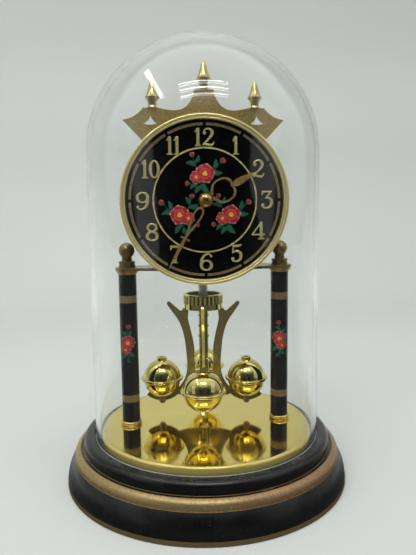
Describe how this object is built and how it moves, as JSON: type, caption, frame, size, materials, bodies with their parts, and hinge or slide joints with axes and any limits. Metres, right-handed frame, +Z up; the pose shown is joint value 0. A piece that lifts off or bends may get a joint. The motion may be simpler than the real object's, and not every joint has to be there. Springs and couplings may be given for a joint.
{
  "type": "clock",
  "caption": "Glass dome anniversary-style quartz clock with a black turned base, slim columns, a black dial, a brass crest and a rotary ball pendulum",
  "frame": {"origin": "middle of the foot, on the table", "axes": "+Z up along the dome's axis, the dial faces -Y, +X to the right as seen from the front"},
  "size_m": [0.1754, 0.1754, 0.2688],
  "materials": {
    "lacquered_wood": "satin",
    "felt": "matte",
    "plate_brass": "polished",
    "polished_brass": "polished",
    "black_lacquer": "gloss",
    "aged_brass": "satin",
    "steel": "satin",
    "turned_brass": "satin",
    "case_plastic": "matte",
    "works_plastic": "satin",
    "board": "satin",
    "coil_wire": "satin",
    "battery_jacket": "gloss",
    "chrome_rod": "polished",
    "gilt_metal": "polished",
    "gilt_plastic": "polished",
    "clear_glass": "polished"
  },
  "bodies": {
    "clock_frame": {"base_body": "lacquered_wood", "base_felt": "felt", "base_plate": "plate_brass", "left_foot_ring": "polished_brass", "right_foot_ring": "polished_brass", "left_column_tube": "black_lacquer", "right_column_tube": "black_lacquer", "left_column_cap": "aged_brass", "right_column_cap": "aged_brass", "left_ball_finial": "aged_brass", "right_ball_finial": "aged_brass", "left_tie_rod": "steel", "right_tie_rod": "steel", "tie_rod_washers": "steel", "tie_rod_nuts": "turned_brass", "movement_bridge": "aged_brass", "bridge_screws": "steel", "case_front": "case_plastic", "case_back": "case_plastic", "case_screws": "steel", "train_plate": "works_plastic", "circuit_board": "board", "motor_coil": "coil_wire", "motor_stator": "steel", "battery_contacts": "steel", "pendulum_bearing": "turned_brass", "drive_coil": "coil_wire", "crest_plate": "aged_brass", "crest_finials": "aged_brass", "dial_plate": "black_lacquer", "dial_bezel": "polished_brass", "minute_track": "polished_brass", "inner_ring": "polished_brass", "bush_nut": "turned_brass"},
    "dome": {"glass_dome": "clear_glass"},
    "minute_works": {"minute_arbor": "turned_brass", "minute_hand": "turned_brass", "hand_nut": "turned_brass"},
    "hour_works": {"hour_wheel": "works_plastic", "hour_hand": "turned_brass"},
    "motion_works": {"motion_wheel": "works_plastic"},
    "setting_works": {"setting_knob": "case_plastic"},
    "centre_works": {"centre_wheel": "works_plastic"},
    "third_works": {"third_wheel": "works_plastic"},
    "second_works": {"second_wheel": "works_plastic"},
    "rotor_works": {"rotor": "works_plastic"},
    "battery_cell": {"battery": "battery_jacket"},
    "pendulum": {"pendulum_spindle": "chrome_rod", "thrust_collar": "turned_brass", "drive_magnet": "steel", "pendulum_cup": "gilt_metal", "pendulum_column": "gilt_metal", "front_arm": "gilt_metal", "left_arm": "gilt_metal", "rear_arm": "gilt_metal", "right_arm": "gilt_metal", "ball_upper_shells": "gilt_plastic", "ball_lower_shells": "gilt_plastic", "ball_screws": "gilt_metal"}
  },
  "joints": [
    {"name": "dome_lift", "type": "slide", "parent": "clock_frame", "child": "dome", "axis": [0, 0, 1], "range_m": [0, 0.24]},
    {"name": "minute_turn", "type": "hinge", "parent": "clock_frame", "child": "minute_works", "pos_m": [0, -0.008, 0.1717], "axis": [0, 1, 0], "continuous": true},
    {"name": "hour_turn", "type": "hinge", "parent": "clock_frame", "child": "hour_works", "pos_m": [0, -0.008, 0.1717], "axis": [0, 1, 0], "continuous": true},
    {"name": "motion_turn", "type": "hinge", "parent": "clock_frame", "child": "motion_works", "pos_m": [-0.00679, -0.008, 0.17849], "axis": [0, 1, 0], "continuous": true},
    {"name": "setting_turn", "type": "hinge", "parent": "clock_frame", "child": "setting_works", "pos_m": [-0.01358, -0.008, 0.18528], "axis": [0, 1, 0], "continuous": true},
    {"name": "second_turn", "type": "hinge", "parent": "clock_frame", "child": "second_works", "pos_m": [-0.01493, -0.008, 0.15632], "axis": [0, 1, 0], "continuous": true},
    {"name": "third_turn", "type": "hinge", "parent": "clock_frame", "child": "third_works", "pos_m": [-0.01391, -0.008, 0.16797], "axis": [0, 1, 0], "continuous": true},
    {"name": "centre_turn", "type": "hinge", "parent": "clock_frame", "child": "centre_works", "pos_m": [0, -0.008, 0.1717], "axis": [0, 1, 0], "continuous": true},
    {"name": "rotor_turn", "type": "hinge", "parent": "clock_frame", "child": "rotor_works", "pos_m": [-0.01321, -0.008, 0.14657], "axis": [0, 1, 0], "continuous": true},
    {"name": "battery_pull", "type": "slide", "parent": "clock_frame", "child": "battery_cell", "axis": [0, 1, 0], "range_m": [0, 0.018]},
    {"name": "pendulum_turn", "type": "hinge", "parent": "clock_frame", "child": "pendulum", "pos_m": [0, 0.0134, 0.129], "axis": [0, 0, 1], "range_deg": [-135, 135]}
  ],
  "couplings": [
    {"joint": "hour_turn", "follows": "minute_turn", "ratio": 0.083333},
    {"joint": "motion_turn", "follows": "minute_turn", "ratio": -0.33333},
    {"joint": "setting_turn", "follows": "minute_turn", "ratio": 1},
    {"joint": "third_turn", "follows": "second_turn", "ratio": -0.083333},
    {"joint": "centre_turn", "follows": "second_turn", "ratio": 0.0055556},
    {"joint": "rotor_turn", "follows": "second_turn", "ratio": -10}
  ]
}
